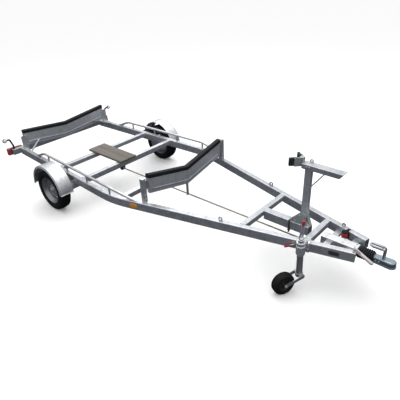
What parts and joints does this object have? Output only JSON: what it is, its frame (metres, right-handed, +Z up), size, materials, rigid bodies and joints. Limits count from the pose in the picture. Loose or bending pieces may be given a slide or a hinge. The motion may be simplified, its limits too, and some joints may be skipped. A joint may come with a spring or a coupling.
{
  "type": "boat trailer",
  "caption": "Galvanised boat trailer with V-shaped keel bunks, winch stand with bow stop, overrun coupling and a jockey wheel that holds it level.",
  "frame": {"origin": "on the floor under the middle of the parked trailer's box", "axes": "+X forward along the floor to the coupling, +Y to the trailer's left, +Z up"},
  "size_m": [5.262, 2.1236, 1.171],
  "materials": {
    "galvanised": "hot-dip galvanised",
    "zinc_plated": "bright zinc plated",
    "dark_steel": "black paint",
    "wheel_silver": "silver paint",
    "tyre_rubber": "matt",
    "black_rubber": "satin",
    "grey_wood": "weathered board",
    "lamp_red": "clear red lens",
    "lamp_clear": "white and red lens",
    "amber": "amber reflector",
    "red_plastic": "moulded"
  },
  "bodies": {
    "chassis": {"left_rail": "galvanised", "right_rail": "galvanised", "left_raised_tube": "galvanised", "right_raised_tube": "galvanised", "cross_member_rear": "galvanised", "cross_member_plank": "galvanised", "cross_member_middle": "galvanised", "cross_member_bow": "galvanised", "cross_member_nose": "galvanised", "light_bar": "galvanised", "left_tail_lamp": "lamp_red", "left_marker_arm": "black_rubber", "left_marker_lamp": "lamp_clear", "right_tail_lamp": "lamp_red", "right_marker_arm": "black_rubber", "right_marker_lamp": "lamp_clear", "axle_tube": "galvanised", "left_swing_arm": "galvanised", "right_swing_arm": "galvanised", "left_mudguard": "galvanised", "right_mudguard": "galvanised", "rear_bunk": "galvanised", "rear_bunk_rubber": "black_rubber", "front_bunk": "galvanised", "front_bunk_rubber": "black_rubber", "rear_bunk_brackets": "galvanised", "front_bunk_posts": "galvanised", "plank": "grey_wood", "brake_rod": "zinc_plated", "equaliser": "dark_steel", "rod_hanger": "galvanised", "centre_beam": "galvanised", "winch_post": "galvanised", "winch_arm": "galvanised", "arm_brace": "galvanised", "bow_yoke": "galvanised", "bow_pads": "black_rubber", "overrun_housing": "zinc_plated", "housing_saddles": "galvanised", "draw_tube": "zinc_plated", "bellows": "black_rubber", "coupling_head": "zinc_plated", "coupling_handle": "zinc_plated", "handbrake": "zinc_plated", "rail_lugs": "galvanised", "side_reflectors": "amber", "parked_plug": "red_plastic", "jockey_clamp": "zinc_plated", "clamp_lever": "zinc_plated"},
    "left_road_wheel": {"left_tyre": "tyre_rubber", "left_wheel": "wheel_silver"},
    "right_road_wheel": {"right_tyre": "tyre_rubber", "right_wheel": "wheel_silver"},
    "jockey_leg": {"jockey_tube": "zinc_plated", "jockey_crank": "zinc_plated"},
    "jockey_castor": {"jockey_fork": "zinc_plated"},
    "jockey_roller": {"jockey_tyre": "tyre_rubber", "jockey_hub": "wheel_silver"}
  },
  "joints": [
    {"name": "left_wheel_spin", "type": "hinge", "parent": "chassis", "child": "left_road_wheel", "pos_m": [-1.321, 0.96729, 0.274], "axis": [0, 1, 0], "continuous": true},
    {"name": "right_wheel_spin", "type": "hinge", "parent": "chassis", "child": "right_road_wheel", "pos_m": [-1.321, -0.96729, 0.274], "axis": [0, 1, 0], "continuous": true},
    {"name": "jockey_lift", "type": "slide", "parent": "chassis", "child": "jockey_leg", "axis": [-0.0147, -0.0316, 0.9994], "range_m": [0, 0.12]},
    {"name": "jockey_swivel", "type": "hinge", "parent": "jockey_leg", "child": "jockey_castor", "pos_m": [1.89486, -0.36972, 0.445], "axis": [-0.0147, -0.0316, 0.9994], "continuous": true},
    {"name": "jockey_roll", "type": "hinge", "parent": "jockey_castor", "child": "jockey_roller", "pos_m": [1.82449, -0.52063, 0.113], "axis": [-0.9063, 0.4226, 0], "continuous": true}
  ]
}
